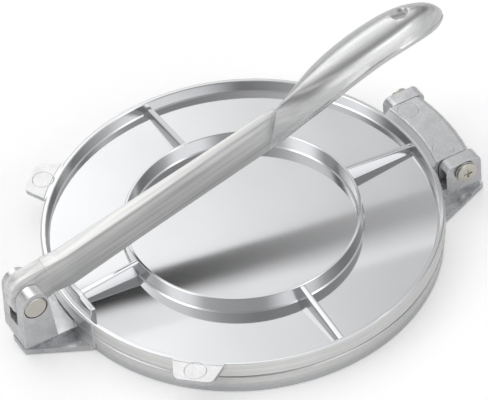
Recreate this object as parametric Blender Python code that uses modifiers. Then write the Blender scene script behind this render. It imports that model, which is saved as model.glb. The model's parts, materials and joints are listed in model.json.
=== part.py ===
"""Tortilla press: a round base plate and an upper plate of cast metal, hinged at
one side, and a lever that turns in a bracket at the other side and presses them
together. The plates lie around the Z axis, the hinge towards +X and the lever's
bracket towards -X. Lengths are in metres."""

import math

import bmesh
import bpy
from mathutils import Matrix, Vector

# Sizes that the whole press shares
PLATE_RADIUS = 0.1040
SEAT_GAP = 0.0003
RUNNING_GAP = 0.0003
OVERRUN = 0.0010
MERGE_DISTANCE = 0.00001

# Base plate: its upper face presses the dough, its skirt stands on the table
BASE_HEIGHT = 0.0120
BASE_FLOOR = 0.0028
SKIRT_WALL = 0.0030
SKIRT_LEAN = 0.0012
BASE_EDGE_ROUND = 0.0005
BASE_RIB_LIFT = 0.0010

# Upper plate: a thin floor with a raised rim, a ring and four spokes
UPPER_FLOOR = 0.0027
RIM_HEIGHT = 0.0091
RIM_WALL = 0.0028
RIM_LEAN = 0.0009
RIM_CHAMFER = 0.0011
RIM_EDGE_ROUND = 0.0004
FLOOR_FILLET = 0.0007
RING_RADIUS = 0.0608
RING_HEIGHT = 0.0090
RING_TOP_WIDTH = 0.0015
RING_LEAN = 0.0005
RING_EDGE_ROUND = 0.0003
SPOKE_WIDTH = 0.0032
SPOKE_LEAN = 0.0006
SPOKE_INNER_HEIGHT = 0.0084
SPOKE_OUTER_HEIGHT = 0.0036
SPOKE_EDGE_ROUND = 0.0007

# Band where both plates are machined round beside the lever's bracket
PAD_HALF_WIDTH = 0.0243
PAD_RISE = 0.0005
PAD_DROP = 0.0008

# Upright curved blade inside the upper plate's rim that the lever presses down
PRESSER_INSET = 0.0020
PRESSER_THICKNESS = 0.0030
PRESSER_HEIGHT = 0.0160
PRESSER_CREST_HALF_LENGTH = 0.0118
PRESSER_HALF_LENGTH = 0.0215
PRESSER_END_DROP = 0.0035
PRESSER_EDGE_ROUND = 0.0005

# Two tabs at the upper plate's edge for lifting it
TAB_ANGLE = math.radians(132)
TAB_REACH = 0.0121
TAB_ROOT_WIDTH = 0.0270
TAB_TIP_WIDTH = 0.0215
TAB_THICKNESS = 0.0026
TAB_DROP = 0.0002
TAB_CORNER = 0.0040

# Hinge: a wing of the upper plate between two ears of the base. Reaches are
# measured outwards from the plates' edge
HINGE_REACH = 0.0104
HINGE_HEIGHT = 0.0187
WING_HALF_WIDTH = 0.0240
WING_REACH = 0.0203
WING_THICKNESS = 0.0121
WING_TOP_ROUND = 0.0032
WING_BOTTOM_ROUND = 0.0030
WING_ROOT_SLOPE = 0.0037
WING_ROOT_ROUND = 0.0020
EAR_THICKNESS = 0.0077
EAR_INNER_REACH = -0.0009
EAR_OUTER_REACH = 0.0201
EAR_TOP_Z = 0.0249
EAR_INNER_ROUND = 0.0045
EAR_OUTER_ROUND = 0.0036
EAR_FOOT_Z = 0.0070
EAR_FOOT_STEP = 0.0025
EAR_EDGE_ROUND = 0.0005

# Flat flanges that carry the hinge's ears and the lever's bracket
FLANGE_THICKNESS = 0.0037
FLANGE_LIFT = 0.0003
HINGE_FLANGE_REACH = 0.0212
HINGE_FLANGE_END_Y = 0.0312
HINGE_FLANGE_ROOT_Y = 0.0432
FLANGE_MARK_RADIUS = 0.0060
FLANGE_MARK_DEPTH = 0.0015
FLANGE_MARK_REACH = 0.0080

# Bracket of the base that holds the lever. Its round crown stands a little
# above the pivot
PIVOT_REACH = 0.0207
PIVOT_HEIGHT = 0.0347
BRACKET_WIDTH = 0.0230
BRACKET_SLOT = 0.0080
BRACKET_CROWN = 0.0074
BRACKET_CROWN_LIFT = 0.0016
BRACKET_FRONT_LEAN = 0.0008
BRACKET_BACK_LEAN = 0.0036
BRACKET_FOOT_Z = 0.0095
BRACKET_FOOT_X = 0.0064
BRACKET_TOE_HALF_WIDTH = 0.0060
BRACKET_TOE_RIM = 0.0005
BRACKET_EDGE_ROUND = 0.0015
BRACKET_WEB = 0.0030
BRACKET_WEB_TOP_Z = 0.0195
DECK_Z = 0.0118
DECK_CHAMFER = 0.0024
DECK_INSET = 0.0003
BRACKET_FLANGE_ROOT_Y = 0.0225

# Lever: a round end in the bracket, a bar on edge and a hollow handle. Its pairs
# are lengths along from the pivot and up from the foot that bears on the presser
LEVER_END_RADIUS = 0.0097
LEVER_END_LIFT = 0.0053
LEVER_END_WIDTH = 0.0074
ARM_ROOT_WIDTH = 0.0079
ARM_TIP_WIDTH = 0.0044
ARM_EDGE_ROUND = 0.0006
ARM_STEP_TOP = (0.0107, 0.0198)
ARM_STEP_FOOT = (0.0147, 0)
ARM_FLAT_END = (0.0267, 0)
ARM_TOP_BEND = (0.0207, 0.0208)
ARM_TOP_END = (0.1482, 0.0532)
ARM_FOOT_MIDDLE = (0.0637, 0.0099)
ARM_FOOT_END = (0.1427, 0.0299)
HANDLE_START = (0.1423, 0.0306)
HANDLE_LENGTH = 0.1060
HANDLE_RISE = 0.0514
HANDLE_HALF_WIDTH = 0.0126
HANDLE_WALL = 0.0026
LIP_HEIGHT = 0.0022
LIP_STEP = 0.0004
HANG_HOLE_RADIUS = 0.0042
HANG_HOLE_CHAMFER = 0.0011
# Handle stations: crest along and up, rim along and up, half width
HANDLE_SHARES = (
    (0.060, 0.440, 0.000, 0.000, 0.190),
    (0.116, 0.522, 0.064, 0.076, 0.330),
    (0.190, 0.611, 0.172, 0.241, 0.585),
    (0.256, 0.680, 0.265, 0.372, 0.790),
    (0.330, 0.753, 0.368, 0.492, 0.920),
    (0.435, 0.837, 0.470, 0.593, 0.985),
    (0.563, 0.921, 0.591, 0.679, 1.000),
    (0.675, 0.975, 0.694, 0.723, 0.985),
    (0.759, 1.000, 0.769, 0.739, 0.920),
    (0.843, 0.992, 0.843, 0.734, 0.790),
    (0.913, 0.951, 0.909, 0.720, 0.585),
    (0.960, 0.883, 0.953, 0.714, 0.385),
    (0.991, 0.796, 0.983, 0.714, 0.177),
)
HANG_HOLE_SHARE = 0.755

# Pivot post of the lever, with a screw in its far end
POST_RADIUS = 0.0040
POST_HEAD_RADIUS = 0.0063
POST_HEAD_HEIGHT = 0.0021
POST_HEAD_RISE = 0.0003
POST_HEAD_ROUND = 0.0006
POST_BORE_DEPTH = 0.0110
PIVOT_SCREW_RADIUS = 0.0024
PIVOT_SCREW_LENGTH = 0.0100

# Hinge screws and their washers
SCREW_RADIUS = 0.0029
SCREW_HEAD_RADIUS = 0.0057
SCREW_HEAD_HEIGHT = 0.0018
SCREW_HEAD_DOME = 0.0007
SCREW_GRIP = 0.0100
WASHER_RADIUS = 0.0061
WASHER_THICKNESS = 0.0006
DRIVE_WIDTH = 0.0011
DRIVE_SPAN = 0.0050
DRIVE_DEPTH = 0.0011

# Numbers of facets
TURN_STEPS = 96
NOSE_STEPS = 2 * TURN_STEPS
PIN_STEPS = 32
SECTION_STEPS = 14
STATION_STEPS = 2
CORNER_STEPS = 4

# Places that follow from the sizes above
UPPER_BOTTOM = BASE_HEIGHT + SEAT_GAP
UPPER_FLOOR_TOP = UPPER_BOTTOM + UPPER_FLOOR
RIM_TOP = UPPER_BOTTOM + RIM_HEIGHT
WING_BOTTOM = UPPER_BOTTOM + SEAT_GAP
WING_TOP = WING_BOTTOM + WING_THICKNESS
FLANGE_MIDDLE = (FLANGE_LIFT + FLANGE_THICKNESS) / 2
PRESSER_OUTER_RADIUS = PLATE_RADIUS - PRESSER_INSET
PRESSER_INNER_RADIUS = PRESSER_OUTER_RADIUS - PRESSER_THICKNESS
PRESSER_TOP = UPPER_FLOOR_TOP + PRESSER_HEIGHT
HINGE_X = PLATE_RADIUS + HINGE_REACH
EAR_INNER_X = PLATE_RADIUS + EAR_INNER_REACH
EAR_OUTER_X = PLATE_RADIUS + EAR_OUTER_REACH
HINGE_FLANGE_END_X = PLATE_RADIUS + HINGE_FLANGE_REACH
FLANGE_MARK_X = PLATE_RADIUS + FLANGE_MARK_REACH
EAR_INNER_Y = WING_HALF_WIDTH + RUNNING_GAP
EAR_OUTER_Y = EAR_INNER_Y + EAR_THICKNESS
BRACKET_SIDE_Y = BRACKET_WIDTH / 2
PIVOT_X = -PLATE_RADIUS - PIVOT_REACH
CROWN_Z = PIVOT_HEIGHT + BRACKET_CROWN_LIFT
LEVER_FOOT_Z = PRESSER_TOP + SEAT_GAP
HANDLE_START_X = PIVOT_X + HANDLE_START[0]
HANDLE_START_Z = LEVER_FOOT_Z + HANDLE_START[1]
HANDLE_TIP_X = HANDLE_START_X + HANDLE_LENGTH
REACH_HINGE_SIDE = max(PLATE_RADIUS + WING_REACH, HINGE_FLANGE_END_X, HANDLE_TIP_X)
REACH_LEVER_SIDE = max(LEVER_END_RADIUS, BRACKET_CROWN + BRACKET_FRONT_LEAN) - PIVOT_X
PLATE_CENTRE_X = (REACH_LEVER_SIDE - REACH_HINGE_SIDE) / 2

# Turns an outline's own axes so that its thickness lies along X, Y or Z
AXIS_TURNS = {
    "X": Matrix(((0, 0, 1), (1, 0, 0), (0, 1, 0))).to_4x4(),
    "Y": Matrix.Rotation(math.radians(90), 4, "X"),
    "Z": Matrix.Identity(4),
}
AXIS_VECTORS = {"X": Vector((1, 0, 0)), "Y": Vector((0, 1, 0)), "Z": Vector((0, 0, 1))}


def clear_scene():
    """Remove the objects and collections that the scene starts with."""
    for old in list(bpy.data.objects):
        bpy.data.objects.remove(old)
    for old in list(bpy.data.collections):
        bpy.data.collections.remove(old)


def new_collection(name):
    collection = bpy.data.collections.new(name)
    bpy.context.scene.collection.children.link(collection)
    return collection


clear_scene()
PARTS = new_collection("tortilla_press")
CUTTERS = new_collection("tortilla_press_cutters")


def new_empty(name, x, z):
    """Add an empty on the press's middle plane, which carries a moving group."""
    empty = bpy.data.objects.new(name, None)
    empty.location = (PLATE_CENTRE_X + x, 0, z)
    PARTS.objects.link(empty)
    return empty


PLATE_CENTRE = new_empty("plate_centre", 0, 0)
UPPER_HINGE = new_empty("upper_plate_hinge", HINGE_X, HINGE_HEIGHT)
LEVER_PIVOT = new_empty("lever_pivot", PIVOT_X, PIVOT_HEIGHT)


def tool_from_bmesh(name, shape):
    """Make a helper object, drawn as wire, from a bmesh in plate coordinates."""
    mesh = bpy.data.meshes.new(name)
    shape.to_mesh(mesh)
    shape.free()
    tool = bpy.data.objects.new(name, mesh)
    tool.parent = PLATE_CENTRE
    tool.hide_render = True
    tool.display_type = "WIRE"
    CUTTERS.objects.link(tool)
    return tool


def bake(shape):
    """Replace an object's mesh by the one that its modifiers give."""
    bpy.context.view_layer.update()
    graph = bpy.context.evaluated_depsgraph_get()
    mesh = bpy.data.meshes.new_from_object(shape.evaluated_get(graph))
    shape.modifiers.clear()
    shape.data = mesh


def round_edges(shape, width, segments=2):
    """Bevel the sharp edges of a helper shape."""
    bevel = shape.modifiers.new("edges", "BEVEL")
    bevel.width = width
    bevel.segments = segments
    bevel.limit_method = "ANGLE"
    bevel.angle_limit = math.radians(35)
    bake(shape)
    return shape


def combine(body, tools, operation):
    """Join tools to a body, cut them from it or keep what it shares with them."""
    for tool in tools:
        boolean = body.modifiers.new(tool.name, "BOOLEAN")
        boolean.operation = operation
        boolean.solver = "EXACT"
        boolean.object = tool
    bake(body)
    return body


def prism(name, outline, low, high, across):
    """Extrude a flat outline from low to high along the axis named by across.
    The outline's pairs are (x, y) for Z, (x, z) for Y and (y, z) for X."""
    curve = bpy.data.curves.new(name, "CURVE")
    curve.dimensions = "2D"
    curve.fill_mode = "BOTH"
    curve.extrude = (high - low) / 2
    spline = curve.splines.new("POLY")
    spline.points.add(len(outline) - 1)
    for point, (u, v) in zip(spline.points, outline):
        point.co = (u, v, 0, 1)
    spline.use_cyclic_u = True
    guide = bpy.data.objects.new(name, curve)
    CUTTERS.objects.link(guide)
    bpy.context.view_layer.update()
    graph = bpy.context.evaluated_depsgraph_get()
    mesh = bpy.data.meshes.new_from_object(guide.evaluated_get(graph))
    bpy.data.objects.remove(guide)
    bpy.data.curves.remove(curve)
    shape = bmesh.new()
    shape.from_mesh(mesh)
    bpy.data.meshes.remove(mesh)
    bmesh.ops.remove_doubles(shape, verts=shape.verts, dist=MERGE_DISTANCE)
    middle = AXIS_VECTORS[across] * (low + high) / 2
    shape.transform(Matrix.Translation(middle) @ AXIS_TURNS[across])
    bmesh.ops.recalc_face_normals(shape, faces=shape.faces)
    return tool_from_bmesh(name, shape)


def turned(name, profile, steps, closed=False):
    """Turn a profile of (radius, height) pairs around the Z axis. The profile
    runs down its outer side, from top to bottom."""
    shape = bmesh.new()
    verts = [shape.verts.new((radius, 0, height)) for radius, height in profile]
    for first, second in zip(verts, verts[1:]):
        shape.edges.new((first, second))
    if closed:
        shape.edges.new((verts[-1], verts[0]))
    tool = tool_from_bmesh(name, shape)
    screw = tool.modifiers.new("turn", "SCREW")
    screw.steps = steps
    screw.render_steps = steps
    screw.use_merge_vertices = True
    screw.merge_threshold = MERGE_DISTANCE
    bake(tool)
    return tool


def turned_across(name, profile, x, y, z, side):
    """Turn a profile around an axis along Y through (x, y, z). The profile's
    heights point along +Y for side 1 and along -Y for side -1."""
    tool = turned(name, profile, PIN_STEPS)
    turn = Matrix.Rotation(math.radians(-90) * side, 4, "X")
    tool.data.transform(Matrix.Translation((x, y, z)) @ turn)
    return tool


def box(name, low, high):
    """A box between two corners."""
    shape = bmesh.new()
    bmesh.ops.create_cube(shape, size=1)
    for vert in shape.verts:
        for axis in range(3):
            vert.co[axis] = high[axis] if vert.co[axis] > 0 else low[axis]
    return tool_from_bmesh(name, shape)


def bar(name, start, end, half_width, lean, foot, start_top, end_top):
    """A straight rib along X with leaning sides: its top is half_width wide each
    way, its foot wider by lean, and its top runs from start_top to end_top."""
    shape = bmesh.new()
    bmesh.ops.create_cube(shape, size=1)
    for vert in shape.verts:
        at_end = vert.co.x > 0
        at_top = vert.co.z > 0
        side = 1 if vert.co.y > 0 else -1
        top = end_top if at_end else start_top
        width = half_width if at_top else half_width + lean
        vert.co = (end if at_end else start, side * width, top if at_top else foot)
    return tool_from_bmesh(name, shape)


def spin(tool, angle):
    """Turn a helper shape about the Z axis."""
    tool.data.transform(Matrix.Rotation(angle, 4, "Z"))
    return tool


def mirrored(tool, name):
    """A copy of a helper shape on the other side of the middle plane."""
    shape = bmesh.new()
    shape.from_mesh(tool.data)
    shape.transform(Matrix.Scale(-1, 4, AXIS_VECTORS["Y"]))
    bmesh.ops.reverse_faces(shape, faces=shape.faces)
    return tool_from_bmesh(name, shape)


def arc(x, z, radius, start, end, steps=CORNER_STEPS):
    """Points on an arc from the angle start to end, in degrees."""
    points = []
    for step in range(steps + 1):
        angle = math.radians(start + (end - start) * step / steps)
        points.append((x + radius * math.cos(angle), z + radius * math.sin(angle)))
    return points


def material(name, colour, roughness, metallic):
    """A Principled material."""
    finish = bpy.data.materials.new(name)
    finish.use_nodes = True
    shader = finish.node_tree.nodes["Principled BSDF"]
    shader.inputs["Base Color"].default_value = colour + (1,)
    shader.inputs["Roughness"].default_value = roughness
    shader.inputs["Metallic"].default_value = metallic
    finish.diffuse_color = colour + (1,)
    return finish


def finish_part(body, name, carrier, finish):
    """Make a helper shape a named part that a carrier empty moves."""
    for collection in list(body.users_collection):
        collection.objects.unlink(body)
    PARTS.objects.link(body)
    body.name = name
    body.data.name = name
    body.hide_render = False
    body.display_type = "TEXTURED"
    body.parent = carrier
    body.location = PLATE_CENTRE.location - carrier.location
    body.data.materials.clear()
    body.data.materials.append(finish)
    body.data.shade_smooth()
    body.data.set_sharp_from_angle(angle=math.radians(32))


def ring_profile(foot, top, foot_side):
    """Outer half of the ring's profile, from its top down to its foot or, for
    foot_side -1, its inner half from the foot up."""
    outer = [
        (RING_RADIUS + RING_TOP_WIDTH / 2 - RING_EDGE_ROUND, top),
        (RING_RADIUS + RING_TOP_WIDTH / 2, top - math.copysign(RING_EDGE_ROUND, top - foot)),
        (RING_RADIUS + RING_TOP_WIDTH / 2 + RING_LEAN,
         foot + math.copysign(FLOOR_FILLET, top - foot)),
        (RING_RADIUS + RING_TOP_WIDTH / 2 + RING_LEAN + FLOOR_FILLET, foot),
    ]
    if foot_side > 0:
        return outer
    return [(2 * RING_RADIUS - radius, height) for radius, height in reversed(outer)]


def plate_pad(name, low, high):
    """A band on a plate's wall beside the lever's bracket."""
    inner = PLATE_RADIUS - SKIRT_WALL / 2
    outer = PLATE_RADIUS + PAD_RISE
    band = turned(
        name, [(inner, high), (outer, high), (outer, low), (inner, low)], TURN_STEPS, True)
    side = box(
        name + "_side", (-PLATE_RADIUS - OVERRUN, -PAD_HALF_WIDTH, low - OVERRUN),
        (0, PAD_HALF_WIDTH, high + OVERRUN))
    return combine(band, [side], "INTERSECT")


def flange(name, tip_x, tip_y, root_y):
    """A flat flange that narrows from the plate's wall to its tip."""
    root_x = math.copysign(math.sqrt(PLATE_RADIUS ** 2 - root_y ** 2), tip_x)
    inside_x = root_x * (1 - SKIRT_WALL / PLATE_RADIUS)
    outline = [
        (tip_x, -tip_y), (root_x, -root_y), (inside_x, -root_y),
        (inside_x, root_y), (root_x, root_y), (tip_x, tip_y),
    ]
    return prism(name, outline, FLANGE_LIFT, FLANGE_THICKNESS, "Z")


def make_base_disc():
    """The base's plate, skirt and the ring under it."""
    floor = BASE_HEIGHT - BASE_FLOOR
    foot_radius = PLATE_RADIUS - SKIRT_LEAN
    inner = foot_radius - SKIRT_WALL
    under_ring = ring_profile(floor, BASE_RIB_LIFT, 1)
    profile = [
        (0, BASE_HEIGHT),
        (PLATE_RADIUS - BASE_EDGE_ROUND, BASE_HEIGHT),
        (PLATE_RADIUS, BASE_HEIGHT - BASE_EDGE_ROUND),
        (foot_radius, BASE_EDGE_ROUND),
        (foot_radius - BASE_EDGE_ROUND, 0),
        (inner, 0),
        (inner, floor - FLOOR_FILLET),
        (inner - FLOOR_FILLET, floor),
    ]
    profile += list(reversed(under_ring))
    profile += [(2 * RING_RADIUS - radius, height) for radius, height in under_ring]
    profile.append((0, floor))
    return turned("base_disc", profile, TURN_STEPS)


def make_base_ribs():
    """Four ribs under the base plate, from its ring to its skirt."""
    ribs = []
    reach = PLATE_RADIUS - SKIRT_LEAN - SKIRT_WALL / 2
    for quarter in range(4):
        rib = bar(
            "base_rib_%d" % quarter, RING_RADIUS, reach, SPOKE_WIDTH / 2 + SPOKE_LEAN,
            -SPOKE_LEAN, BASE_RIB_LIFT + RING_EDGE_ROUND, BASE_HEIGHT - BASE_FLOOR / 2,
            BASE_HEIGHT - BASE_FLOOR / 2)
        ribs.append(spin(rib, math.radians(90) * quarter))
    return ribs


def undercut(name, side_y, side_z, foot_y, start_x, end_x):
    """A cutter along X under a casting's side towards -Y, which leans in from
    the height side_z down to foot_y at the flange's top, and on into the flange."""
    over_z = OVERRUN * (side_z - FLANGE_THICKNESS) / (side_y - foot_y)
    outline = [
        (-side_y - OVERRUN, -OVERRUN), (-side_y - OVERRUN, side_z + over_z),
        (-foot_y + OVERRUN, FLANGE_THICKNESS - over_z), (-foot_y + OVERRUN, -OVERRUN),
    ]
    return prism(name, outline, start_x, end_x, "X")


def make_hinge_ear(name):
    """One ear of the hinge, on the side towards -Y."""
    outline = [(EAR_INNER_X, FLANGE_MIDDLE), (EAR_OUTER_X, FLANGE_MIDDLE)]
    outline += arc(
        EAR_OUTER_X - EAR_OUTER_ROUND, EAR_TOP_Z - EAR_OUTER_ROUND, EAR_OUTER_ROUND, 0, 90)
    outline += arc(
        EAR_INNER_X + EAR_INNER_ROUND, EAR_TOP_Z - EAR_INNER_ROUND, EAR_INNER_ROUND, 90, 180)
    ear = prism(name, outline, -EAR_OUTER_Y, -EAR_INNER_Y, "Y")
    round_edges(ear, EAR_EDGE_ROUND)
    block_x = math.sqrt(PLATE_RADIUS ** 2 - EAR_OUTER_Y ** 2) - SKIRT_WALL
    block = box(
        name + "_root",
        (block_x, -EAR_OUTER_Y + EAR_EDGE_ROUND, FLANGE_MIDDLE - FLANGE_LIFT),
        (EAR_INNER_X + EAR_INNER_ROUND, -EAR_INNER_Y - EAR_EDGE_ROUND,
         BASE_HEIGHT - 2 * BASE_EDGE_ROUND))
    cut = undercut(
        name + "_undercut", EAR_OUTER_Y, EAR_FOOT_Z, EAR_OUTER_Y - EAR_FOOT_STEP,
        block_x - OVERRUN, EAR_OUTER_X + OVERRUN)
    combine(ear, [block], "UNION")
    return combine(ear, [cut], "DIFFERENCE")


def make_pivot_bore():
    """The hole for the lever's post, with a recess for its head."""
    reach = BRACKET_SIDE_Y + OVERRUN
    bore_radius = POST_RADIUS + RUNNING_GAP
    recess_radius = POST_HEAD_RADIUS + RUNNING_GAP
    recess_y = BRACKET_SIDE_Y + POST_HEAD_RISE - POST_HEAD_HEIGHT - SEAT_GAP
    profile = [
        (0, reach), (recess_radius, reach), (recess_radius, recess_y),
        (bore_radius, recess_y), (bore_radius, -reach), (0, -reach),
    ]
    return turned_across("bracket_bore", profile, PIVOT_X, 0, PIVOT_HEIGHT, -1)


def make_bracket():
    """The lever's bracket: a block on a low deck, whose two ears stand beside
    a slot that is open at the front above a web."""
    front_x = PIVOT_X - BRACKET_CROWN - BRACKET_FRONT_LEAN
    back_x = PIVOT_X + BRACKET_CROWN + BRACKET_BACK_LEAN
    root_x = -PLATE_RADIUS + SKIRT_WALL
    foot_x = PIVOT_X - BRACKET_FOOT_X
    foot_x += (foot_x - front_x) * (FLANGE_THICKNESS - FLANGE_MIDDLE) / (
        BRACKET_FOOT_Z - FLANGE_THICKNESS)
    top = CROWN_Z + BRACKET_CROWN + OVERRUN
    outline = [(foot_x, FLANGE_MIDDLE), (front_x, BRACKET_FOOT_Z)]
    outline += arc(PIVOT_X, CROWN_Z, BRACKET_CROWN, 180, 0, 4 * CORNER_STEPS)
    outline.append((back_x, FLANGE_MIDDLE))
    body = prism("bracket", outline, -BRACKET_SIDE_Y, BRACKET_SIDE_Y, "Y")
    round_edges(body, BRACKET_EDGE_ROUND)
    deck_y = BRACKET_SIDE_Y - DECK_INSET
    deck_foot = FLANGE_MIDDLE - FLANGE_LIFT
    deck = prism(
        "bracket_deck",
        [(-deck_y, deck_foot), (deck_y, deck_foot), (deck_y, DECK_Z - DECK_CHAMFER),
         (deck_y - DECK_CHAMFER, DECK_Z), (-deck_y + DECK_CHAMFER, DECK_Z),
         (-deck_y, DECK_Z - DECK_CHAMFER)],
        PIVOT_X, root_x, "X")
    combine(body, [deck], "UNION")
    slot_y = BRACKET_SLOT / 2
    slot = box(
        "bracket_slot", (front_x + BRACKET_WEB, -slot_y, BRACKET_FOOT_Z),
        (back_x + BRACKET_EDGE_ROUND, slot_y, top))
    window = box(
        "bracket_window", (front_x - OVERRUN, -slot_y, BRACKET_WEB_TOP_Z),
        (front_x + BRACKET_WEB + OVERRUN, slot_y, top + OVERRUN))
    under = undercut(
        "bracket_undercut", BRACKET_SIDE_Y, BRACKET_FOOT_Z, BRACKET_TOE_HALF_WIDTH,
        front_x - OVERRUN, root_x + OVERRUN)
    cuts = [slot, window, under, mirrored(under, "bracket_undercut_far"), make_pivot_bore()]
    return combine(body, cuts, "DIFFERENCE")


def make_base_plate(cast):
    disc = make_base_disc()
    near_ear = make_hinge_ear("hinge_ear")
    additions = make_base_ribs()
    additions += [
        near_ear,
        mirrored(near_ear, "hinge_ear_far"),
        flange("hinge_flange", HINGE_FLANGE_END_X, HINGE_FLANGE_END_Y, HINGE_FLANGE_ROOT_Y),
        flange(
            "bracket_flange", PIVOT_X - BRACKET_FOOT_X - BRACKET_TOE_RIM,
            BRACKET_TOE_HALF_WIDTH + BRACKET_TOE_RIM, BRACKET_FLANGE_ROOT_Y),
        make_bracket(),
        plate_pad("base_pad", FLANGE_THICKNESS - BASE_EDGE_ROUND, BASE_HEIGHT - PAD_DROP),
    ]
    combine(disc, additions, "UNION")
    ear_bore = SCREW_RADIUS + RUNNING_GAP
    reach = EAR_OUTER_Y + OVERRUN
    hinge_bore = turned_across(
        "hinge_bore", [(0, reach), (ear_bore, reach), (ear_bore, -reach), (0, -reach)],
        HINGE_X, 0, HINGE_HEIGHT, 1)
    mark_y = HINGE_FLANGE_END_Y + (HINGE_FLANGE_ROOT_Y - HINGE_FLANGE_END_Y) * (
        HINGE_FLANGE_END_X - FLANGE_MARK_X) / (HINGE_FLANGE_END_X - PLATE_RADIUS)
    mark = turned(
        "flange_mark",
        [(0, FLANGE_THICKNESS + OVERRUN), (FLANGE_MARK_RADIUS, FLANGE_THICKNESS + OVERRUN),
         (FLANGE_MARK_RADIUS, FLANGE_THICKNESS - FLANGE_MARK_DEPTH),
         (0, FLANGE_THICKNESS - FLANGE_MARK_DEPTH)], PIN_STEPS)
    mark.data.transform(Matrix.Translation((FLANGE_MARK_X, -mark_y, 0)))
    cuts = [hinge_bore, mark, mirrored(mark, "flange_mark_far")]
    combine(disc, cuts, "DIFFERENCE")
    finish_part(disc, "base_plate", PLATE_CENTRE, cast)


def make_upper_disc():
    """The upper plate's floor, rim and ring, turned in one piece."""
    rim_inner = PLATE_RADIUS - RIM_WALL
    profile = [(0, UPPER_FLOOR_TOP)]
    profile += ring_profile(UPPER_FLOOR_TOP, UPPER_FLOOR_TOP + RING_HEIGHT, -1)
    profile += ring_profile(UPPER_FLOOR_TOP, UPPER_FLOOR_TOP + RING_HEIGHT, 1)
    profile += [
        (rim_inner - RIM_LEAN - FLOOR_FILLET, UPPER_FLOOR_TOP),
        (rim_inner - RIM_LEAN, UPPER_FLOOR_TOP + FLOOR_FILLET),
        (rim_inner, RIM_TOP - RIM_EDGE_ROUND),
        (rim_inner + RIM_EDGE_ROUND, RIM_TOP),
        (PLATE_RADIUS - RIM_CHAMFER, RIM_TOP),
        (PLATE_RADIUS - RIM_CHAMFER / 3, RIM_TOP - RIM_CHAMFER / 3),
        (PLATE_RADIUS, RIM_TOP - RIM_CHAMFER),
        (PLATE_RADIUS, UPPER_BOTTOM + BASE_EDGE_ROUND),
        (PLATE_RADIUS - BASE_EDGE_ROUND, UPPER_BOTTOM),
        (0, UPPER_BOTTOM),
    ]
    return turned("upper_disc", profile, TURN_STEPS)


def make_spokes():
    """Four ribs on the upper plate that fall from the ring to the rim. The one
    on the lever's side ends at the presser."""
    spokes = []
    foot = UPPER_FLOOR_TOP - UPPER_FLOOR / 2
    for quarter in range(4):
        end = PLATE_RADIUS - RIM_WALL / 2
        if quarter == 2:
            end = PRESSER_OUTER_RADIUS - PRESSER_THICKNESS / 2
        spoke = bar(
            "spoke_%d" % quarter, RING_RADIUS, end, SPOKE_WIDTH / 2, SPOKE_LEAN, foot,
            UPPER_FLOOR_TOP + SPOKE_INNER_HEIGHT, UPPER_FLOOR_TOP + SPOKE_OUTER_HEIGHT)
        round_edges(spoke, SPOKE_EDGE_ROUND)
        spokes.append(spin(spoke, math.radians(90) * quarter))
    return spokes


def make_presser():
    """The blade that the lever bears on: it follows the rim and its top falls
    towards both ends."""
    foot = UPPER_FLOOR_TOP - UPPER_FLOOR / 3
    over = PRESSER_TOP + OVERRUN
    presser = turned(
        "presser",
        [(PRESSER_INNER_RADIUS, over), (PRESSER_OUTER_RADIUS, over),
         (PRESSER_OUTER_RADIUS, foot), (PRESSER_INNER_RADIUS, foot)], TURN_STEPS, True)
    end_z = PRESSER_TOP - PRESSER_END_DROP
    outline = [
        (-PRESSER_HALF_LENGTH, foot - OVERRUN), (PRESSER_HALF_LENGTH, foot - OVERRUN),
        (PRESSER_HALF_LENGTH, end_z), (PRESSER_CREST_HALF_LENGTH, PRESSER_TOP),
        (-PRESSER_CREST_HALF_LENGTH, PRESSER_TOP), (-PRESSER_HALF_LENGTH, end_z),
    ]
    face = prism("presser_face", outline, -PLATE_RADIUS, -RING_RADIUS, "X")
    combine(presser, [face], "INTERSECT")
    return round_edges(presser, PRESSER_EDGE_ROUND, 1)


def make_tab(name, angle):
    """A lift tab at the rim's top edge."""
    root = PLATE_RADIUS - RIM_WALL / 2
    tip = PLATE_RADIUS + TAB_REACH
    tip_y = TAB_TIP_WIDTH / 2
    outline = [(root, -TAB_ROOT_WIDTH / 2)]
    outline += arc(tip - TAB_CORNER, -tip_y + TAB_CORNER, TAB_CORNER, -80, 0)
    outline += arc(tip - TAB_CORNER, tip_y - TAB_CORNER, TAB_CORNER, 0, 80)
    outline.append((root, TAB_ROOT_WIDTH / 2))
    top = RIM_TOP - TAB_DROP
    tab = prism(name, outline, top - TAB_THICKNESS, top, "Z")
    round_edges(tab, RIM_EDGE_ROUND)
    return spin(tab, angle)


def make_wing():
    """The hinge wing: a slice of a ring whose edge is rounded."""
    nose = PLATE_RADIUS + WING_REACH
    inner = PLATE_RADIUS - RIM_WALL
    profile = [
        (inner, RIM_TOP - RIM_CHAMFER),
        (inner + RIM_CHAMFER, RIM_TOP - RIM_EDGE_ROUND),
    ]
    profile += arc(
        inner + RIM_CHAMFER + WING_ROOT_SLOPE, WING_TOP - WING_ROOT_ROUND, WING_ROOT_ROUND,
        140, 90)
    profile += list(reversed(arc(
        nose - WING_TOP_ROUND, WING_TOP - WING_TOP_ROUND, WING_TOP_ROUND, 0, 90)))
    profile += list(reversed(arc(
        nose - WING_BOTTOM_ROUND, WING_BOTTOM + WING_BOTTOM_ROUND, WING_BOTTOM_ROUND,
        -90, 0)))
    profile.append((inner, WING_BOTTOM))
    wing = turned("wing", profile, NOSE_STEPS, True)
    slice_box = box(
        "wing_slice", (0, -WING_HALF_WIDTH, UPPER_BOTTOM - OVERRUN),
        (nose + OVERRUN, WING_HALF_WIDTH, WING_TOP + OVERRUN))
    return combine(wing, [slice_box], "INTERSECT")


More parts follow.
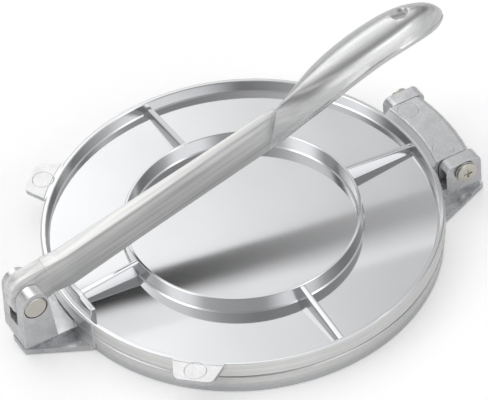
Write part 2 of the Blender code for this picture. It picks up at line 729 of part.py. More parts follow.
def make_upper_plate(cast):
    disc = make_upper_disc()
    additions = make_spokes()
    additions += [
        make_presser(),
        make_tab("tab_far", TAB_ANGLE),
        make_tab("tab_near", -TAB_ANGLE),
        make_wing(),
        plate_pad("upper_pad", UPPER_BOTTOM + PAD_DROP, RIM_TOP - PAD_DROP),
    ]
    combine(disc, additions, "UNION")
    bore_radius = SCREW_RADIUS + RUNNING_GAP
    depth = WING_HALF_WIDTH - SCREW_GRIP - RUNNING_GAP
    bores = []
    for name, side in (("wing_bore_near", -1), ("wing_bore_far", 1)):
        bores.append(turned_across(
            name,
            [(0, WING_HALF_WIDTH + OVERRUN), (bore_radius, WING_HALF_WIDTH + OVERRUN),
             (bore_radius, depth), (0, depth)],
            HINGE_X, 0, HINGE_HEIGHT, side))
    combine(disc, bores, "DIFFERENCE")
    finish_part(disc, "upper_plate", UPPER_HINGE, cast)


def spread(stations, steps):
    """Stations on a smooth curve through the given ones."""
    smooth = []
    last = len(stations) - 1
    for index in range(last):
        before = stations[max(index - 1, 0)]
        first = stations[index]
        second = stations[index + 1]
        after = stations[min(index + 2, last)]
        for step in range(steps):
            t = step / steps
            smooth.append(tuple(
                b + (c - a) * t / 2 + (a - 2.5 * b + 2 * c - d / 2) * t ** 2
                + (1.5 * (b - c) + (d - a) / 2) * t ** 3
                for a, b, c, d in zip(before, first, second, after)))
    smooth.append(stations[last])
    return smooth


def loft(name, sections):
    """A closed body through sections with equal numbers of points."""
    shape = bmesh.new()
    rings = [[shape.verts.new(point) for point in section] for section in sections]
    for ring, following in zip(rings, rings[1:]):
        for index in range(len(ring)):
            after = (index + 1) % len(ring)
            shape.faces.new((ring[index], ring[after], following[after], following[index]))
    shape.faces.new(rings[0])
    shape.faces.new(rings[-1])
    bmesh.ops.recalc_face_normals(shape, faces=shape.faces)
    return tool_from_bmesh(name, shape)


def handle_section(crest, rim, half_width, foot_drop, lip):
    """An arch over the rim line, closed below it. Its lowest part is a lip."""
    up = (crest - rim).normalized()
    depth = (crest - rim).length
    points = [rim - up * foot_drop + Vector((0, -half_width - lip, 0))]
    if lip:
        points.append(rim + up * LIP_HEIGHT + Vector((0, -half_width - lip, 0)))
    for step in range(SECTION_STEPS + 1):
        angle = math.pi * step / SECTION_STEPS
        rise = max(LIP_HEIGHT + LIP_STEP if lip else 0, depth * math.sin(angle))
        points.append(rim + up * rise + Vector((0, -half_width * math.cos(angle), 0)))
    if lip:
        points.append(rim + up * LIP_HEIGHT + Vector((0, half_width + lip, 0)))
    points.append(rim - up * foot_drop + Vector((0, half_width + lip, 0)))
    return points


def handle_stations():
    """Crest point, rim point and half width along the handle."""
    stations = []
    for crest_x, crest_z, rim_x, rim_z, width in spread(HANDLE_SHARES, STATION_STEPS):
        crest = Vector((
            HANDLE_START_X + crest_x * HANDLE_LENGTH, 0, HANDLE_START_Z + crest_z * HANDLE_RISE))
        rim = Vector((
            HANDLE_START_X + rim_x * HANDLE_LENGTH, 0, HANDLE_START_Z + rim_z * HANDLE_RISE))
        stations.append((crest, rim, width * HANDLE_HALF_WIDTH))
    return stations


def make_handle():
    """The handle's shell, arched above and open below."""
    stations = handle_stations()
    outer = loft("handle", [
        handle_section(crest, rim, half_width, 0, LIP_STEP)
        for crest, rim, half_width in stations])
    sections = []
    ramp = 3 * STATION_STEPS
    for index, (crest, rim, half_width) in enumerate(stations):
        inner_width = half_width - HANDLE_WALL
        depth = (crest - rim).length - HANDLE_WALL
        if index < STATION_STEPS or inner_width < HANDLE_WALL / 2:
            continue
        share = min(1, (index - STATION_STEPS + 1) / ramp)
        inner_crest = rim + (crest - rim).normalized() * depth * share
        sections.append(handle_section(inner_crest, rim, inner_width, OVERRUN, 0))
    hollow = loft("handle_hollow", sections)
    return combine(outer, [hollow], "DIFFERENCE")


def on_lever(along, up):
    """The place of a point that is given from the pivot and the lever's foot."""
    return (PIVOT_X + along, LEVER_FOOT_Z + up)


def make_arm():
    """The bar on edge, thinner towards the handle."""
    outline = [
        on_lever(*point) for point in (
            ARM_STEP_FOOT, ARM_FLAT_END, ARM_FOOT_MIDDLE, ARM_FOOT_END,
            ARM_TOP_END, ARM_TOP_BEND, ARM_STEP_TOP)
    ]
    arm = prism("arm", outline, -ARM_ROOT_WIDTH / 2, ARM_ROOT_WIDTH / 2, "Y")
    round_edges(arm, ARM_EDGE_ROUND)
    start_x = PIVOT_X + ARM_TOP_BEND[0]
    length = ARM_TOP_END[0] - ARM_TOP_BEND[0]
    tip_share = ARM_TIP_WIDTH / ARM_ROOT_WIDTH
    for vert in arm.data.vertices:
        along = max(0, vert.co.x - start_x) / length
        vert.co.y *= 1 + (tip_share - 1) * along
    return arm


def make_lever(cast):
    foot_x, foot_z = on_lever(*ARM_STEP_FOOT)
    top_x, top_z = on_lever(*ARM_STEP_TOP)
    outline = [
        (foot_x, foot_z), (foot_x + OVERRUN, foot_z + OVERRUN),
        (top_x + OVERRUN, top_z - OVERRUN), (top_x, top_z),
    ]
    outline += arc(
        PIVOT_X, PIVOT_HEIGHT + LEVER_END_LIFT, LEVER_END_RADIUS, 90, 180, 2 * CORNER_STEPS)
    outline += arc(PIVOT_X, PIVOT_HEIGHT, LEVER_END_RADIUS, 180, 280, 2 * CORNER_STEPS)
    lever = prism("lever_end", outline, -LEVER_END_WIDTH / 2, LEVER_END_WIDTH / 2, "Y")
    round_edges(lever, ARM_EDGE_ROUND)
    combine(lever, [make_arm(), make_handle()], "UNION")
    bore_radius = POST_RADIUS + RUNNING_GAP
    reach = LEVER_END_WIDTH
    bore = turned_across(
        "lever_bore", [(0, reach), (bore_radius, reach), (bore_radius, -reach), (0, -reach)],
        PIVOT_X, 0, PIVOT_HEIGHT, 1)
    crest_z = HANDLE_START_Z + HANDLE_RISE
    hole_x = HANDLE_START_X + HANG_HOLE_SHARE * HANDLE_LENGTH
    hole = turned(
        "hang_hole",
        [(0, crest_z + OVERRUN),
         (HANG_HOLE_RADIUS + HANG_HOLE_CHAMFER + OVERRUN, crest_z + OVERRUN),
         (HANG_HOLE_RADIUS, crest_z - HANG_HOLE_CHAMFER),
         (HANG_HOLE_RADIUS, crest_z - HANDLE_HALF_WIDTH), (0, crest_z - HANDLE_HALF_WIDTH)],
        PIN_STEPS)
    hole.data.transform(Matrix.Translation((hole_x, 0, 0)))
    combine(lever, [bore, hole], "DIFFERENCE")
    finish_part(lever, "lever", LEVER_PIVOT, cast)


def make_drive_cut(name, x, top, z, side):
    """A cross slot for a screwdriver in a head that faces along Y."""
    cross = box(
        name, (x - DRIVE_SPAN / 2, side * (top - DRIVE_DEPTH), z - DRIVE_WIDTH / 2),
        (x + DRIVE_SPAN / 2, side * (top + OVERRUN), z + DRIVE_WIDTH / 2))
    other = box(
        name + "_other", (x - DRIVE_WIDTH / 2, side * (top - DRIVE_DEPTH), z - DRIVE_SPAN / 2),
        (x + DRIVE_WIDTH / 2, side * (top + OVERRUN), z + DRIVE_SPAN / 2))
    for tool in (cross, other):
        shape = bmesh.new()
        shape.from_mesh(tool.data)
        bmesh.ops.recalc_face_normals(shape, faces=shape.faces)
        shape.to_mesh(tool.data)
        shape.free()
    return combine(cross, [other], "UNION")


def make_pan_screw(name, x, z, side, seat, radius, tip, steel):
    """A pan-head screw along Y, with its head's underside at seat."""
    top = seat + SCREW_HEAD_HEIGHT
    shoulder = top - SCREW_HEAD_DOME
    profile = [
        (0, top),
        (SCREW_HEAD_RADIUS * 2 / 3, top - SCREW_HEAD_DOME / 3),
        (SCREW_HEAD_RADIUS, shoulder),
        (SCREW_HEAD_RADIUS, seat),
        (radius, seat),
        (radius, tip),
        (0, tip),
    ]
    screw = turned_across(name, profile, x, 0, z, side)
    combine(screw, [make_drive_cut(name + "_drive", x, top, z, side)], "DIFFERENCE")
    finish_part(screw, name, PLATE_CENTRE, steel)


def make_washer(name, side, steel):
    """A flat washer between a hinge screw's head and its ear."""
    low = EAR_OUTER_Y + SEAT_GAP
    high = low + WASHER_THICKNESS
    inner = SCREW_RADIUS + RUNNING_GAP
    tool = turned(
        name, [(inner, high), (WASHER_RADIUS, high), (WASHER_RADIUS, low), (inner, low)],
        PIN_STEPS, True)
    turn = Matrix.Rotation(math.radians(-90) * side, 4, "X")
    tool.data.transform(Matrix.Translation((HINGE_X, 0, HINGE_HEIGHT)) @ turn)
    finish_part(tool, name, PLATE_CENTRE, steel)


def make_post(steel):
    """The lever's pivot post: a flat round head and a barrel with a bore."""
    head_top = BRACKET_SIDE_Y + POST_HEAD_RISE
    seat = head_top - POST_HEAD_HEIGHT
    end = -(BRACKET_SIDE_Y - SEAT_GAP)
    bore_radius = PIVOT_SCREW_RADIUS + RUNNING_GAP
    profile = [
        (0, head_top),
        (POST_HEAD_RADIUS - POST_HEAD_ROUND, head_top),
        (POST_HEAD_RADIUS, head_top - POST_HEAD_ROUND),
        (POST_HEAD_RADIUS, seat),
        (POST_RADIUS, seat),
        (POST_RADIUS, end),
        (bore_radius, end),
        (bore_radius, end + POST_BORE_DEPTH),
        (0, end + POST_BORE_DEPTH),
    ]
    post = turned_across("lever_pivot_post", profile, PIVOT_X, 0, PIVOT_HEIGHT, -1)
    finish_part(post, "lever_pivot_post", PLATE_CENTRE, steel)


def make_fasteners(steel):
    make_post(steel)
    seat = BRACKET_SIDE_Y + SEAT_GAP
    make_pan_screw(
        "lever_pivot_screw", PIVOT_X, PIVOT_HEIGHT, 1, seat, PIVOT_SCREW_RADIUS,
        seat - PIVOT_SCREW_LENGTH, steel)
    seat = EAR_OUTER_Y + SEAT_GAP + WASHER_THICKNESS + SEAT_GAP
    for name, side in (("near", -1), ("far", 1)):
        make_washer("hinge_washer_" + name, side, steel)
        make_pan_screw(
            "hinge_screw_" + name, HINGE_X, HINGE_HEIGHT, side, seat, SCREW_RADIUS,
            WING_HALF_WIDTH - SCREW_GRIP, steel)


def make_press():
    cast = material("cast_aluminium", (0.80, 0.81, 0.83), 0.24, 1.0)
    steel = material("nickel_steel", (0.66, 0.64, 0.60), 0.22, 1.0)
    make_base_plate(cast)
    make_upper_plate(cast)
    make_lever(cast)
    make_fasteners(steel)


make_press()
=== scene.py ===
"""Looks of a polished cast-aluminium tortilla press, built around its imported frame."""

import json
import math

import bmesh
import bpy
from mathutils import Matrix, Vector


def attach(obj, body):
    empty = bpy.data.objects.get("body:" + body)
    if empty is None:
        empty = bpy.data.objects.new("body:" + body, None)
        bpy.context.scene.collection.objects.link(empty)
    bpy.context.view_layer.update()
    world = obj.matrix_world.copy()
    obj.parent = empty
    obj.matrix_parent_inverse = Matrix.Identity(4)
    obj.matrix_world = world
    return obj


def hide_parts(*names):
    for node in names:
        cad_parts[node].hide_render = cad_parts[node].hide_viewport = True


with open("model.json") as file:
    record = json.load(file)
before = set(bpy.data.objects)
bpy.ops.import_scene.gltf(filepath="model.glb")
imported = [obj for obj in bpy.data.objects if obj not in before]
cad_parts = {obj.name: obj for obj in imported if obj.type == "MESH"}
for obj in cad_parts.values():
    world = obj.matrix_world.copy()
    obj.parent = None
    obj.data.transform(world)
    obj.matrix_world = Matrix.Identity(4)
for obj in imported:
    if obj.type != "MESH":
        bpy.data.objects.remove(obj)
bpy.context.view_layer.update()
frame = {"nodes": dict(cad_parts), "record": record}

# The press: places are from the plates' centre
PLATE_CENTRE_X = 0.0046
PLATE_CENTRE = Vector((PLATE_CENTRE_X, 0, 0))

# Camera at the photograph's angle
IMAGE_WIDTH = 488
FOCAL_LENGTH_PIXELS = 4526
SENSOR_WIDTH_MM = 36.0
VIEW_AZIMUTH = math.radians(-26.17)
VIEW_ELEVATION = math.radians(44.57)
VIEW_ROLL = math.radians(-5.068)
VIEW_DISTANCE = 2.3593
VIEW_TARGET = PLATE_CENTRE + Vector((0.01627, 0.02943, 0))
CLIP_END = 50

# Studio: a pale floor that glows to the camera alone, and a room that is lit by
# direction: a horizon, two bright windows with dark gaps, a wall and a soft ceiling
FLOOR_SIZE = 12.0
FLOOR_DROP = 0.0001
FLOOR_COLOUR = (0.93, 0.93, 0.93, 1)
FLOOR_ROUGHNESS = 0.9
FLOOR_GLOW = 0.24
WHITE = (1, 1, 1, 1)
BACKGROUND_LIGHT = 1.0
ROOM_LIGHT = 1.2
FULL_TURN = 360
CEILING_LEVEL = 0.78
CEILING_TILT = 0.92
CEILING_AZIMUTH = math.radians(100)
CEILING_START = math.sin(math.radians(48))
CEILING_END = math.sin(math.radians(58))
HORIZON_START = math.sin(math.radians(24))
HORIZON_END = math.sin(math.radians(31))
WALL_START = math.sin(math.radians(37))
WALL_END = math.sin(math.radians(43))

# Light levels by azimuth in degrees
HORIZON_LEVELS = (
    (0, 0.50), (45, 0.58), (65, 0.70), (112, 0.55), (136, 0.48), (153, 0.48), (169, 1.00),
    (188, 1.00), (205, 0.55), (225, 0.30), (240, 0.18), (248, 0.60), (258, 1.02), (300, 1.02),
    (318, 0.70), (340, 0.52))
WINDOW_LEVELS = (
    (0, 0.16), (25, 0.28), (45, 0.44), (65, 0.80), (90, 0.62), (112, 0.40), (136, 0.16),
    (153, 0.20), (169, 1.65), (188, 1.65), (202, 0.70), (235, 0.60), (258, 0.55),
    (276, 1.60), (304, 1.65), (318, 0.70), (340, 0.28), (352, 0.16))
WALL_LEVELS = (
    (0, 0.34), (40, 0.43), (59, 0.52), (62, 0.70), (64.5, 0.92), (68, 1.25), (105, 1.30),
    (140, 0.90), (185, 0.70), (215, 0.34), (250, 0.26), (275, 0.40), (310, 0.34), (340, 0.30))

# A dark strip that the plates mirror: it pales along its length and across it.
# Its spread and core are shares of its width
STRIP_PLACE = (0.060, 0.086, 0.150)
STRIP_SIZE = (0.240, 0.042)
STRIP_TURN = math.radians(-10.5)
STRIP_DARK = 0.0
STRIP_END = 0.56
STRIP_PALE = 1.05
STRIP_CORE = 0.10
STRIP_SPREAD = 0.5
STRIP_HALF = 0.5

# Rounding of the edges. Weighted normals keep the plates' broad faces flat beside it
EDGE_WIDTH = 0.00045
EDGE_SEGMENTS = 2
EDGE_ANGLE = math.radians(28)
SMOOTH_ANGLE = math.radians(40)
WELD_DISTANCE = 0.00002
FLAT_ANGLE = math.radians(0.3)
FLAT_WEIGHT = 60
FLAT_NODES = ("base_plate", "upper_plate")

# The photograph's floors show no image of the lever, so mirror images leave it out
UNMIRRORED_NODE = "lever"

# Colours of the metals, with painted shade for the seam between the plates and a painted highlight
# for the tabs
ALUMINIUM = (0.71, 0.715, 0.725, 1)
ALUMINIUM_BRUSHED = (0.91, 0.905, 0.89, 1)
ALUMINIUM_DULL = (0.55, 0.555, 0.565, 1)
# Painted shade for the seam between the plates
SEAM_SHADE_COLOUR = (0.16, 0.16, 0.17, 1)
# Painted highlight for the upward faces of the tabs
TAB_HIGHLIGHT_COLOUR = (0.78, 0.78, 0.78, 1)
NICKEL = (0.66, 0.65, 0.59, 1)
NICKEL_DULL = (0.55, 0.53, 0.47, 1)

# Borders between the zones of the plates' material, each as the span over which one
# zone gives way to the next: radii, the normal's upward share, and heights
TURNED_EDGE = (0.1043, 0.1050)
SKIRT_START = (0.1030, 0.1036)
WALL_SHARE = (0.35, 0.65)
FACED_HEIGHT = (0.0126, 0.0130)
# The painted highlight on the tabs starts at this height
TAB_HEIGHT = (0.0150, 0.0155)

# Painted shade along the seam between the plates, which is faint in places
SEAM_HEIGHT = 0.01215
SEAM_WIDTH = (0.0002, 0.0007)
SEAM_SCALE = 14.0
SEAM_DETAIL = 2.0
SEAM_BREAK = (0.42, 0.58)
SEAM_FAINT = 0.15

# Noises of the plates, as scale per metre and detail. The skirt's lines have their
# scale by axis, and the rings are noise along the radius
NOISE_MIDDLE = 0.5
CLOUD_NOISE = (24.0, 4.0)
SPOT_NOISE = (150.0, 4.0)
GRAIN_NOISE = (800.0, 3.0)
RING_NOISE = (2200.0, 3.0)
WAVE_NOISE = (16.0, 1.0)
LINE_SPREAD = (12, 12, 1500)
LINE_DETAIL = 4.0

# Roughness of the plates' zones, where their noise is low and where it is high
POLISHED_ROUGHNESS = (0.05, 0.10)
WALL_ROUGHNESS = 0.17
FACED_ROUGHNESS = (0.22, 0.36)
SKIRT_ROUGHNESS = (0.22, 0.40)
CAST_ROUGHNESS = (0.20, 0.34)

# Dullness of the plates' zones, as a share or as a noise's factor and offset
POLISHED_TONE = 0.05
WALL_TONE = 0.30
SKIRT_TONE = (1.4, -0.35)
CAST_TONE = (1.8, -0.30)
CLOUD_TONE = 0.5

# Heights of the plates' relief, in metres
WAVE_HEIGHT = 0.00016
SCRATCH_HEIGHT = 0.000030
PIT_HEIGHT = 0.000018
SWELL_HEIGHT = 0.00010
RING_HEIGHT = 0.000010

# Marks that the ejector pins leave on the tabs and on the wing
MARK_RADIUS = 0.0056
MARK_WIDTH = 0.0004
MARK_DEPTH = 0.00012
TAB_MARK_RADIUS = 0.1090
TAB_ANGLE = math.radians(132)
WING_MARK = (0.1103, 0.0175)

# The lever: its bar's rise, its handle's start, its noises and its finish, in the same
# terms as the plates'. Each spread is a scale along the bar and two across it
BAR_RISE = math.radians(14.5)
HANDLE_START = (0.0150, 0.0215)
BAR_SPREAD = (22, 700, 1400)
STREAK_SPREAD = (12, 260, 420)
LEVER_CLOUD_NOISE = (40.0, 3.0)
SATIN_NOISE = (1600.0, 2.0)
BAR_ROUGHNESS = (0.42, 0.60)
HANDLE_ROUGHNESS = (0.19, 0.30)
BAR_TONE = (2.2, -0.75)
HANDLE_TONE = (0.9, 0.12)
SATIN_TONE = 0.36
BAR_SCRATCH_HEIGHT = 0.000016
LEVER_WAVE_HEIGHT = 0.00008
SATIN_HEIGHT = 0.000005

# The nickel-plated screws, washers and post, which share the lever's satin noise
STEEL_CLOUD_NOISE = (260.0, 2.0)
STEEL_ROUGHNESS = (0.20, 0.32)
STEEL_TONE = 0.6
STEEL_HEIGHT = 0.000004


def make_camera():
    """A long-lens camera that looks at the press as the photograph does."""
    back = Vector((
        math.sin(VIEW_AZIMUTH) * math.cos(VIEW_ELEVATION),
        -math.cos(VIEW_AZIMUTH) * math.cos(VIEW_ELEVATION),
        math.sin(VIEW_ELEVATION)))
    level = Vector((0, 0, 1)).cross(back).normalized()
    upright = back.cross(level)
    right = level * math.cos(VIEW_ROLL) + upright * math.sin(VIEW_ROLL)
    up = upright * math.cos(VIEW_ROLL) - level * math.sin(VIEW_ROLL)
    lens = bpy.data.cameras.new("camera")
    lens.sensor_width = SENSOR_WIDTH_MM
    lens.lens = FOCAL_LENGTH_PIXELS / IMAGE_WIDTH * SENSOR_WIDTH_MM
    lens.clip_end = CLIP_END
    camera = bpy.data.objects.new("camera", lens)
    place = Matrix((right, up, back)).transposed().to_4x4()
    place.translation = VIEW_TARGET + back * VIEW_DISTANCE
    camera.matrix_world = place
    bpy.context.scene.collection.objects.link(camera)
    bpy.context.scene.camera = camera


class Nodes:
    """A node tree whose nodes are added by short calls."""

    def __init__(self, tree):
        self.tree = tree
        self.coordinates = tree.nodes.new("ShaderNodeTexCoord")

    def feed(self, socket, value):
        """Link a value's socket to an input, or set a number on it."""
        if isinstance(value, bpy.types.NodeSocket):
            self.tree.links.new(value, socket)
        else:
            socket.default_value = value

    def maths(self, operation, first, second=0.0, third=0.0, clamp=False):
        node = self.tree.nodes.new("ShaderNodeMath")
        node.operation = operation
        node.use_clamp = clamp
        for socket, value in zip(node.inputs, (first, second, third)):
            self.feed(socket, value)
        return node.outputs[0]

    def product(self, *values):
        result = values[0]
        for value in values[1:]:
            result = self.maths("MULTIPLY", result, value)
        return result

    def total(self, *values):
        result = values[0]
        for value in values[1:]:
            result = self.maths("ADD", result, value)
        return result

    def rest(self, share):
        """What is left of one beside a share."""
        return self.maths("SUBTRACT", 1.0, share)

    def vector(self, operation, first, second=(0, 0, 0), output=0):
        node = self.tree.nodes.new("ShaderNodeVectorMath")
        node.operation = operation
        self.feed(node.inputs[0], first)
        self.feed(node.inputs[1], second)
        return node.outputs[output]

    def split(self, vector):
        node = self.tree.nodes.new("ShaderNodeSeparateXYZ")
        self.feed(node.inputs[0], vector)
        return node.outputs[0], node.outputs[1], node.outputs[2]

    def join(self, x, y, z):
        node = self.tree.nodes.new("ShaderNodeCombineXYZ")
        for socket, value in zip(node.inputs, (x, y, z)):
            self.feed(socket, value)
        return node.outputs[0]

    def ramp(self, value, low, high, start=0.0, end=1.0):
        """A smooth step from start to end while value goes from low to high."""
        node = self.tree.nodes.new("ShaderNodeMapRange")
        node.interpolation_type = "SMOOTHSTEP"
        self.feed(node.inputs["Value"], value)
        node.inputs["From Min"].default_value = low
        node.inputs["From Max"].default_value = high
        self.feed(node.inputs["To Min"], start)
        self.feed(node.inputs["To Max"], end)
        return node.outputs["Result"]

    def noise(self, place, scale, detail, spread=(1, 1, 1)):
        """Noise of a scale and a detail. A spread multiplies the scale by axis."""
        node = self.tree.nodes.new("ShaderNodeTexNoise")
        self.feed(node.inputs["Vector"], self.vector("MULTIPLY", place, spread))
        node.inputs["Scale"].default_value = scale
        node.inputs["Detail"].default_value = detail
        return node.outputs["Fac"]

    def blend(self, share, first, second):
        node = self.tree.nodes.new("ShaderNodeMix")
        node.data_type = "RGBA"
        self.feed(node.inputs["Factor"], share)
        self.feed(node.inputs["A"], first)
        self.feed(node.inputs["B"], second)
        return node.outputs["Result"]

    def between(self, share, first, second):
        """A number between first and second."""
        rise = self.maths("SUBTRACT", second, first)
        return self.maths("MULTIPLY_ADD", rise, share, first)


class Finish(Nodes):
    """A metal whose colour, roughness and relief come from its nodes."""

    def __init__(self, name):
        self.material = bpy.data.materials.new(name)
        self.material.use_nodes = True
        super().__init__(self.material.node_tree)
        self.shader = self.tree.nodes["Principled BSDF"]
        self.shader.inputs["Metallic"].default_value = 1.0
        self.place = self.coordinates.outputs["Object"]
        self.normal = self.coordinates.outputs["Normal"]

    def relief(self, height):
        """Bend the shader's normal by a height in metres."""
        node = self.tree.nodes.new("ShaderNodeBump")
        node.inputs["Strength"].default_value = 1.0
        node.inputs["Distance"].default_value = 1.0
        self.feed(node.inputs["Height"], height)
        self.feed(self.shader.inputs["Normal"], node.outputs["Normal"])


def ejector_marks(finish, place):
    """The height of the round grooves that ejector pins leave."""
    centres = []
    for side in (-1, 1):
        centres.append((
            math.cos(TAB_ANGLE) * TAB_MARK_RADIUS, side * math.sin(TAB_ANGLE) * TAB_MARK_RADIUS))
        centres.append((WING_MARK[0], side * WING_MARK[1]))
    flat = finish.vector("MULTIPLY", place, (1, 1, 0))
    nearest = None
    for x, y in centres:
        reach = finish.vector("DISTANCE", flat, (x, y, 0), "Value")
        nearest = reach if nearest is None else finish.maths("MINIMUM", nearest, reach)
    away = finish.maths("ABSOLUTE", finish.maths("SUBTRACT", nearest, MARK_RADIUS))
    return finish.ramp(away, 0.0, MARK_WIDTH, -MARK_DEPTH, 0.0)


class Zones:
    """Shares by which each kind of surface of the plates takes part."""

    def __init__(self, finish, place):
        x, y, z = finish.split(place)
        self.radius = finish.vector("LENGTH", finish.join(x, y, 0.0), output="Value")
        upward = finish.maths("ABSOLUTE", finish.split(finish.normal)[2])
        level = finish.ramp(upward, *WALL_SHARE)
        outside = finish.ramp(self.radius, *SKIRT_START)
        self.steep = finish.ramp(upward, *WALL_SHARE, 1.0, 0.0)
        self.cast = finish.ramp(self.radius, *TURNED_EDGE)
        self.skirt = finish.product(outside, self.steep)
        self.turned = finish.product(self.skirt, finish.rest(self.cast))
        self.faced = finish.product(
            finish.ramp(z, *FACED_HEIGHT, 1.0, 0.0), finish.rest(self.steep))
        lever_side = finish.maths("LESS_THAN", x, 0.0)
        # Painted highlight: the upward faces of the tabs on the lever's side are made paler
        self.tab_highlight = finish.product(finish.ramp(z, *TAB_HEIGHT), lever_side, self.cast, level)
        # Painted shade along the seam between the plates, broken by noise so that it is faint in
        # places
        away = finish.maths("ABSOLUTE", finish.maths("SUBTRACT", z, SEAM_HEIGHT))
        broken = finish.ramp(
            finish.noise(place, SEAM_SCALE, SEAM_DETAIL), *SEAM_BREAK, SEAM_FAINT, 1.0)
        self.seam = finish.product(
            finish.ramp(away, *SEAM_WIDTH, 1.0, 0.0),
            finish.maths("SUBTRACT", outside, self.cast), broken)


def make_plate_finish(name):
    """Polished floors, satin walls, faced working sides and a turned skirt inside
    the plates' edge, and what lies outside it left as cast."""
    finish = Finish(name)
    place = finish.vector("SUBTRACT", finish.place, tuple(PLATE_CENTRE))
    zones = Zones(finish, place)
    cloud = finish.noise(place, *CLOUD_NOISE)
    spots = finish.noise(place, *SPOT_NOISE)
    grain = finish.noise(place, *GRAIN_NOISE)
    lines = finish.noise(place, 1.0, LINE_DETAIL, LINE_SPREAD)
    rings = finish.noise(finish.join(zones.radius, 0.0, 0.0), *RING_NOISE)

    roughness = finish.between(cloud, *POLISHED_ROUGHNESS)
    roughness = finish.between(zones.steep, roughness, WALL_ROUGHNESS)
    for share, noise, levels in (
            (zones.faced, rings, FACED_ROUGHNESS),
            (zones.skirt, lines, SKIRT_ROUGHNESS),
            (zones.cast, spots, CAST_ROUGHNESS)):
        roughness = finish.between(share, roughness, finish.between(noise, *levels))
    finish.feed(finish.shader.inputs["Roughness"], roughness)

    tone = finish.between(zones.steep, finish.between(zones.faced, POLISHED_TONE, rings), WALL_TONE)
    for share, noise, levels in (
            (zones.skirt, lines, SKIRT_TONE),
            (zones.cast, spots, CAST_TONE)):
        tone = finish.between(share, tone, finish.maths("MULTIPLY_ADD", noise, *levels, True))
    tone = finish.maths(
        "MULTIPLY_ADD", finish.maths("SUBTRACT", cloud, NOISE_MIDDLE), CLOUD_TONE, tone, True)
    colour = finish.blend(tone, ALUMINIUM, ALUMINIUM_DULL)
    brushed = finish.blend(tone, ALUMINIUM_BRUSHED, ALUMINIUM_DULL)
    colour = finish.blend(zones.turned, colour, brushed)
    # Paint a highlight on the tabs' upward faces
    colour = finish.blend(zones.tab_highlight, colour, TAB_HIGHLIGHT_COLOUR)
    # Paint shade along the seam between the plates
    colour = finish.blend(zones.seam, colour, SEAM_SHADE_COLOUR)
    finish.feed(finish.shader.inputs["Base Color"], colour)

    finish.relief(finish.total(
        finish.product(finish.noise(place, *WAVE_NOISE), WAVE_HEIGHT),
        finish.product(lines, zones.skirt, SCRATCH_HEIGHT),
        finish.product(grain, zones.cast, PIT_HEIGHT),
        finish.product(spots, zones.cast, SWELL_HEIGHT),
        finish.product(rings, zones.faced, RING_HEIGHT),
        ejector_marks(finish, place)))
    return finish.material


def make_lever_finish(name):
    """Brushed along the bar, and satin with faint streaks on the handle."""
    finish = Finish(name)
    place = finish.vector("SUBTRACT", finish.place, tuple(PLATE_CENTRE))
    x, y, z = finish.split(place)
    along = finish.total(
        finish.product(x, math.cos(BAR_RISE)), finish.product(z, math.sin(BAR_RISE)))
    across = finish.maths(
        "SUBTRACT", finish.product(z, math.cos(BAR_RISE)), finish.product(x, math.sin(BAR_RISE)))
    handle = finish.ramp(x, *HANDLE_START)
    lay = finish.join(along, y, across)
    lines = finish.noise(lay, 1.0, LINE_DETAIL, BAR_SPREAD)
    streaks = finish.noise(lay, 1.0, LINE_DETAIL, STREAK_SPREAD)
    cloud = finish.noise(place, *LEVER_CLOUD_NOISE)
    grain = finish.noise(place, *SATIN_NOISE)

    bar_roughness = finish.between(lines, *BAR_ROUGHNESS)
    handle_roughness = finish.between(streaks, *HANDLE_ROUGHNESS)
    finish.feed(
        finish.shader.inputs["Roughness"],
        finish.between(handle, bar_roughness, handle_roughness))

    bar_tone = finish.maths("MULTIPLY_ADD", streaks, *BAR_TONE, True)
    handle_tone = finish.maths("MULTIPLY_ADD", streaks, *HANDLE_TONE, True)
    handle_tone = finish.maths("MULTIPLY_ADD", grain, SATIN_TONE, handle_tone, True)
    tone = finish.between(handle, bar_tone, handle_tone)
    finish.feed(
        finish.shader.inputs["Base Color"],
        finish.blend(tone, ALUMINIUM_BRUSHED, ALUMINIUM_DULL))

    finish.relief(finish.total(
        finish.product(lines, finish.rest(handle), BAR_SCRATCH_HEIGHT),
        finish.product(cloud, LEVER_WAVE_HEIGHT),
        finish.product(grain, handle, SATIN_HEIGHT)))
    return finish.material


def make_steel_finish(name):
    """Nickel-plated steel with a faint satin grain."""
    finish = Finish(name)
    grain = finish.noise(finish.place, *SATIN_NOISE)
    cloud = finish.noise(finish.place, *STEEL_CLOUD_NOISE)
    finish.feed(finish.shader.inputs["Roughness"], finish.between(grain, *STEEL_ROUGHNESS))
    finish.feed(
        finish.shader.inputs["Base Color"],
        finish.blend(finish.product(cloud, STEEL_TONE), NICKEL, NICKEL_DULL))
    finish.relief(finish.product(grain, STEEL_HEIGHT))
    return finish.material


def dress(node, body, material):
    """A smooth, edge-rounded model of a CAD node, which it replaces."""
    shape = bmesh.new()
    shape.from_mesh(frame["nodes"][node].data)
    bmesh.ops.remove_doubles(shape, verts=shape.verts, dist=WELD_DISTANCE)
    bmesh.ops.dissolve_limit(
        shape, angle_limit=FLAT_ANGLE, verts=shape.verts, edges=shape.edges)
    mesh = bpy.data.meshes.new(node + "_look")
    shape.to_mesh(mesh)
    shape.free()
    mesh.materials.append(material)
    look = bpy.data.objects.new(node + "_look", mesh)
    bpy.context.scene.collection.objects.link(look)
    bevel = look.modifiers.new("edges", "BEVEL")
    bevel.width = EDGE_WIDTH
    bevel.segments = EDGE_SEGMENTS
    bevel.limit_method = "ANGLE"
    bevel.angle_limit = EDGE_ANGLE
    bevel.harden_normals = True
    mesh.shade_smooth()
    mesh.set_sharp_from_angle(angle=SMOOTH_ANGLE)
    if node in FLAT_NODES:
        normals = look.modifiers.new("normals", "WEIGHTED_NORMAL")
        normals.weight = FLAT_WEIGHT
        normals.keep_sharp = True
    look.visible_glossy = node != UNMIRRORED_NODE
    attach(look, body)
    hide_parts(node)
    return look


